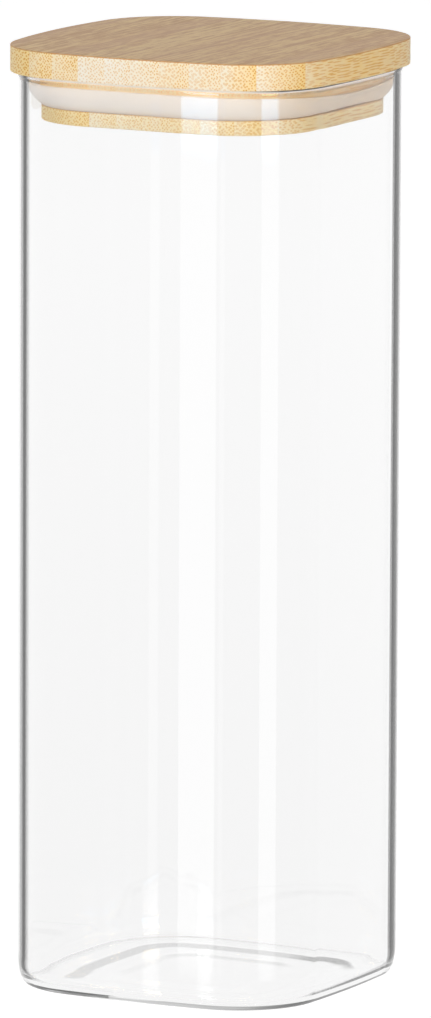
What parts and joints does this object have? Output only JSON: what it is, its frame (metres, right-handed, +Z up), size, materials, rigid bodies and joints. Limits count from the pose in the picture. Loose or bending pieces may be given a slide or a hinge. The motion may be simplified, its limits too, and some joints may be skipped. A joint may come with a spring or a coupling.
{
  "type": "storage jar with bamboo lid",
  "caption": "Tall square glass storage jar with rounded corners, a lift-off lid of glued bamboo strips and a flared silicone seal around the lid's plug.",
  "frame": {"origin": "middle of the face that the jar stands on", "axes": "+Z up through the lid; the lid's strips run along Y and lie side by side along X"},
  "size_m": [0.1076, 0.1076, 0.2867],
  "materials": {
    "clear_glass": "clear blown glass, smooth inside and out",
    "bamboo": "fine-sanded laminated bamboo, satin",
    "silicone": "matte moulded silicone, warm white"
  },
  "bodies": {
    "jar": {"glass_jar": "clear_glass"},
    "lid": {"bamboo_strip_01": "bamboo", "bamboo_strip_02": "bamboo", "bamboo_strip_03": "bamboo", "bamboo_strip_04": "bamboo", "bamboo_strip_05": "bamboo", "bamboo_strip_06": "bamboo", "bamboo_strip_07": "bamboo", "bamboo_strip_08": "bamboo", "bamboo_strip_09": "bamboo", "bamboo_strip_10": "bamboo", "bamboo_strip_11": "bamboo", "bamboo_strip_12": "bamboo", "silicone_seal": "silicone"}
  },
  "joints": [
    {"name": "lid_lift", "type": "slide", "parent": "jar", "child": "lid", "axis": [0, 0, 1], "range_m": [0, 0.08]}
  ]
}
